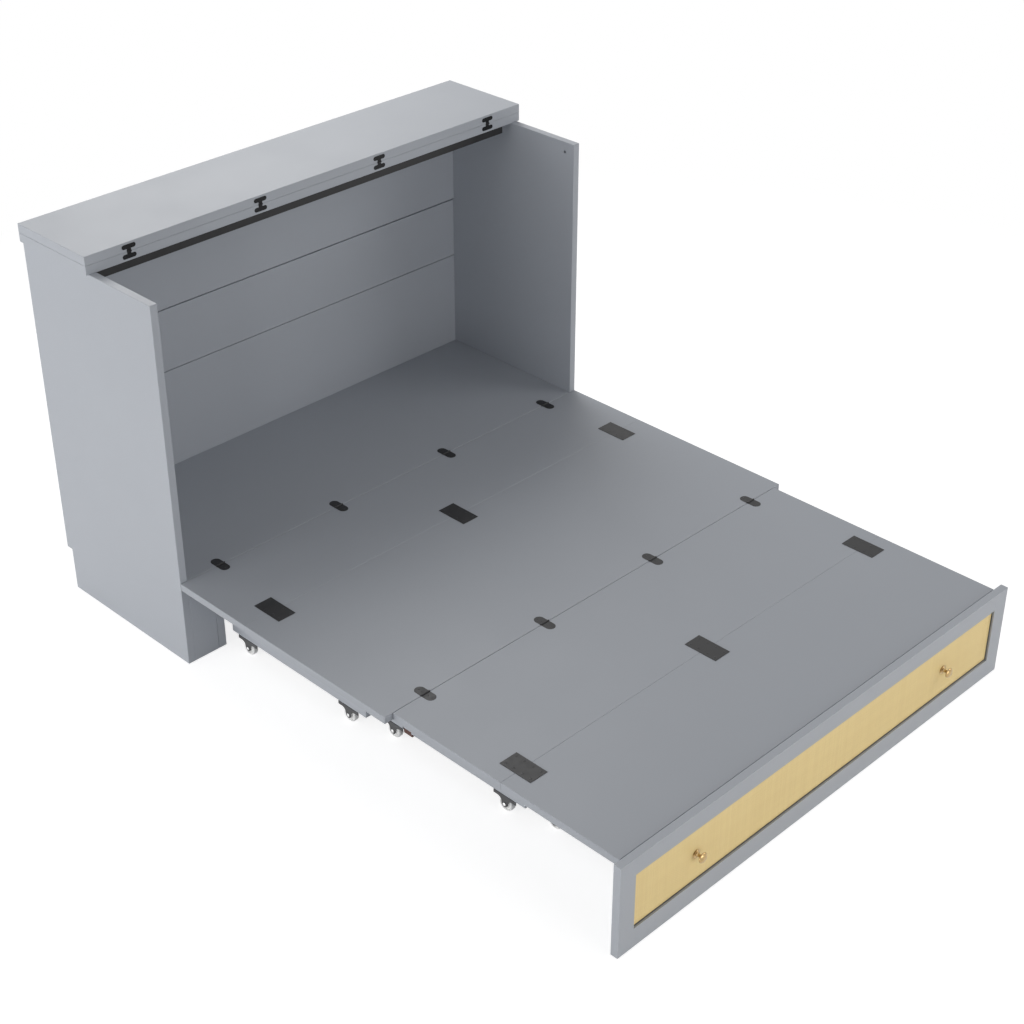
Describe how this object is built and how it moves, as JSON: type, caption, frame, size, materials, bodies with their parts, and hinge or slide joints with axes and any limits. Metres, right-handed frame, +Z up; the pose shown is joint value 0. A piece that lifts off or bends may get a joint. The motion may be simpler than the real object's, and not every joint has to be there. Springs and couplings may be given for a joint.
{
  "type": "cabinet bed",
  "caption": "Painted cabinet whose top folds back, with a deck that unfolds forward onto nested carts on rigid casters behind a cane-filled front board.",
  "frame": {"origin": "on the floor under the middle of the opened bed's bounding box", "axes": "+X to the right seen from the foot of the bed, +Y from the foot to the back of the cabinet, +Z up"},
  "size_m": [1.451, 2.016, 1.0613],
  "materials": {
    "panel_paint": "blue-grey satin paint on board",
    "top_paint": "blue-grey satin paint on board",
    "back_paint": "blue-grey satin paint on board",
    "deck_paint": "darker blue-grey matt paint on board",
    "cart_paint": "blue-grey satin paint on board",
    "front_paint": "blue-grey satin paint on board",
    "backing_paint": "blue-grey satin paint on board",
    "cane": "woven natural cane webbing",
    "knob_brass": "polished",
    "hinge_metal": "black satin",
    "lid_hinge_metal": "black satin",
    "plate_metal": "black satin",
    "stiffener_metal": "black satin",
    "caster_steel": "dark grey satin",
    "stop_rubber": "brown matt",
    "wheel_plastic": "pale"
  },
  "bodies": {
    "cabinet": {"left_side_panel": "panel_paint", "right_side_panel": "panel_paint", "fixed_top_board": "top_paint", "top_stiffener": "stiffener_metal", "upper_back_board": "back_paint", "middle_back_board": "back_paint", "lower_back_board": "back_paint", "fixed_deck_board": "deck_paint", "left_plinth_front": "panel_paint", "right_plinth_front": "panel_paint", "left_plinth_panel": "panel_paint", "right_plinth_panel": "panel_paint", "cabinet_deck_hinge_leaves": "hinge_metal", "cabinet_lid_hinge_leaves": "lid_hinge_metal"},
    "lid": {"lid_board": "top_paint", "lid_hinge_leaves": "lid_hinge_metal"},
    "mid_deck": {"mid_deck_rear_board": "deck_paint", "mid_deck_front_board": "deck_paint", "mid_deck_joining_plates": "plate_metal", "mid_deck_rear_hinge_leaves": "hinge_metal", "mid_deck_front_hinge_leaves": "hinge_metal"},
    "front_deck": {"front_deck_rear_board": "deck_paint", "front_deck_front_board": "deck_paint", "front_deck_joining_plates": "plate_metal", "front_deck_hinge_leaves": "hinge_metal"},
    "rear_cart": {"rear_cart_left_rail": "cart_paint", "rear_cart_right_rail": "cart_paint", "rear_cart_cross_board": "cart_paint", "rear_cart_caster_forks": "caster_steel"},
    "middle_cart": {"middle_cart_left_rail": "cart_paint", "middle_cart_right_rail": "cart_paint", "middle_cart_cross_board": "cart_paint", "middle_cart_stop_blocks": "stop_rubber", "middle_cart_caster_forks": "caster_steel"},
    "front_cart": {"front_cart_left_rail": "cart_paint", "front_cart_right_rail": "cart_paint", "front_cart_cross_board": "cart_paint", "front_cart_caster_forks": "caster_steel", "front_left_stile": "front_paint", "front_right_stile": "front_paint", "front_top_rail": "front_paint", "front_bottom_rail": "front_paint", "front_cane_panel": "cane", "front_backing_board": "backing_paint", "front_knobs": "knob_brass"},
    "rear_cart_rear_left_wheel": {"rear_cart_rear_left_wheel": "wheel_plastic"},
    "rear_cart_rear_right_wheel": {"rear_cart_rear_right_wheel": "wheel_plastic"},
    "rear_cart_front_left_wheel": {"rear_cart_front_left_wheel": "wheel_plastic"},
    "rear_cart_front_right_wheel": {"rear_cart_front_right_wheel": "wheel_plastic"},
    "middle_cart_rear_left_wheel": {"middle_cart_rear_left_wheel": "wheel_plastic"},
    "middle_cart_rear_right_wheel": {"middle_cart_rear_right_wheel": "wheel_plastic"},
    "middle_cart_front_left_wheel": {"middle_cart_front_left_wheel": "wheel_plastic"},
    "middle_cart_front_right_wheel": {"middle_cart_front_right_wheel": "wheel_plastic"},
    "front_cart_rear_left_wheel": {"front_cart_rear_left_wheel": "wheel_plastic"},
    "front_cart_rear_right_wheel": {"front_cart_rear_right_wheel": "wheel_plastic"},
    "front_cart_front_left_wheel": {"front_cart_front_left_wheel": "wheel_plastic"},
    "front_cart_front_right_wheel": {"front_cart_front_right_wheel": "wheel_plastic"}
  },
  "joints": [
    {"name": "lid_fold", "type": "hinge", "parent": "cabinet", "child": "lid", "pos_m": [0, 0.7265, 1.0373], "axis": [1, 0, 0], "range_deg": [0, 180]},
    {"name": "mid_deck_fold", "type": "hinge", "parent": "cabinet", "child": "mid_deck", "pos_m": [0, 0.4875, 0.249], "axis": [-1, 0, 0], "range_deg": [0, 90]},
    {"name": "front_deck_fold", "type": "hinge", "parent": "mid_deck", "child": "front_deck", "pos_m": [0, -0.2735, 0.249], "axis": [-1, 0, 0], "range_deg": [0, 180]},
    {"name": "rear_cart_slide", "type": "slide", "parent": "cabinet", "child": "rear_cart", "axis": [0, 1, 0], "range_m": [0, 0.5125]},
    {"name": "middle_cart_slide", "type": "slide", "parent": "rear_cart", "child": "middle_cart", "axis": [0, 1, 0], "range_m": [0, 0.5065]},
    {"name": "front_cart_slide", "type": "slide", "parent": "middle_cart", "child": "front_cart", "axis": [0, 1, 0], "range_m": [0, 0.4155]},
    {"name": "rear_cart_rear_left_spin", "type": "hinge", "parent": "rear_cart", "child": "rear_cart_rear_left_wheel", "pos_m": [-0.574, 0.4115, 0.0205], "axis": [1, 0, 0], "continuous": true},
    {"name": "rear_cart_rear_right_spin", "type": "hinge", "parent": "rear_cart", "child": "rear_cart_rear_right_wheel", "pos_m": [0.574, 0.4115, 0.0205], "axis": [1, 0, 0], "continuous": true},
    {"name": "rear_cart_front_left_spin", "type": "hinge", "parent": "rear_cart", "child": "rear_cart_front_left_wheel", "pos_m": [-0.574, 0.019, 0.0205], "axis": [1, 0, 0], "continuous": true},
    {"name": "rear_cart_front_right_spin", "type": "hinge", "parent": "rear_cart", "child": "rear_cart_front_right_wheel", "pos_m": [0.574, 0.019, 0.0205], "axis": [1, 0, 0], "continuous": true},
    {"name": "middle_cart_rear_left_spin", "type": "hinge", "parent": "middle_cart", "child": "middle_cart_rear_left_wheel", "pos_m": [-0.539, -0.1045, 0.0205], "axis": [1, 0, 0], "continuous": true},
    {"name": "middle_cart_rear_right_spin", "type": "hinge", "parent": "middle_cart", "child": "middle_cart_rear_right_wheel", "pos_m": [0.539, -0.1045, 0.0205], "axis": [1, 0, 0], "continuous": true},
    {"name": "middle_cart_front_left_spin", "type": "hinge", "parent": "middle_cart", "child": "middle_cart_front_left_wheel", "pos_m": [-0.539, -0.4875, 0.0205], "axis": [1, 0, 0], "continuous": true},
    {"name": "middle_cart_front_right_spin", "type": "hinge", "parent": "middle_cart", "child": "middle_cart_front_right_wheel", "pos_m": [0.539, -0.4875, 0.0205], "axis": [1, 0, 0], "continuous": true},
    {"name": "front_cart_rear_left_spin", "type": "hinge", "parent": "front_cart", "child": "front_cart_rear_left_wheel", "pos_m": [-0.504, -0.611, 0.0205], "axis": [1, 0, 0], "continuous": true},
    {"name": "front_cart_rear_right_spin", "type": "hinge", "parent": "front_cart", "child": "front_cart_rear_right_wheel", "pos_m": [0.504, -0.611, 0.0205], "axis": [1, 0, 0], "continuous": true},
    {"name": "front_cart_front_left_spin", "type": "hinge", "parent": "front_cart", "child": "front_cart_front_left_wheel", "pos_m": [-0.504, -0.9035, 0.0205], "axis": [1, 0, 0], "continuous": true},
    {"name": "front_cart_front_right_spin", "type": "hinge", "parent": "front_cart", "child": "front_cart_front_right_wheel", "pos_m": [0.504, -0.9035, 0.0205], "axis": [1, 0, 0], "continuous": true}
  ],
  "couplings": [
    {"joint": "rear_cart_slide", "follows": "mid_deck_fold", "m_per_rad": 0.32626},
    {"joint": "middle_cart_slide", "follows": "mid_deck_fold", "m_per_rad": 0.32244},
    {"joint": "front_cart_slide", "follows": "front_deck_fold", "m_per_rad": 0.13225}
  ]
}
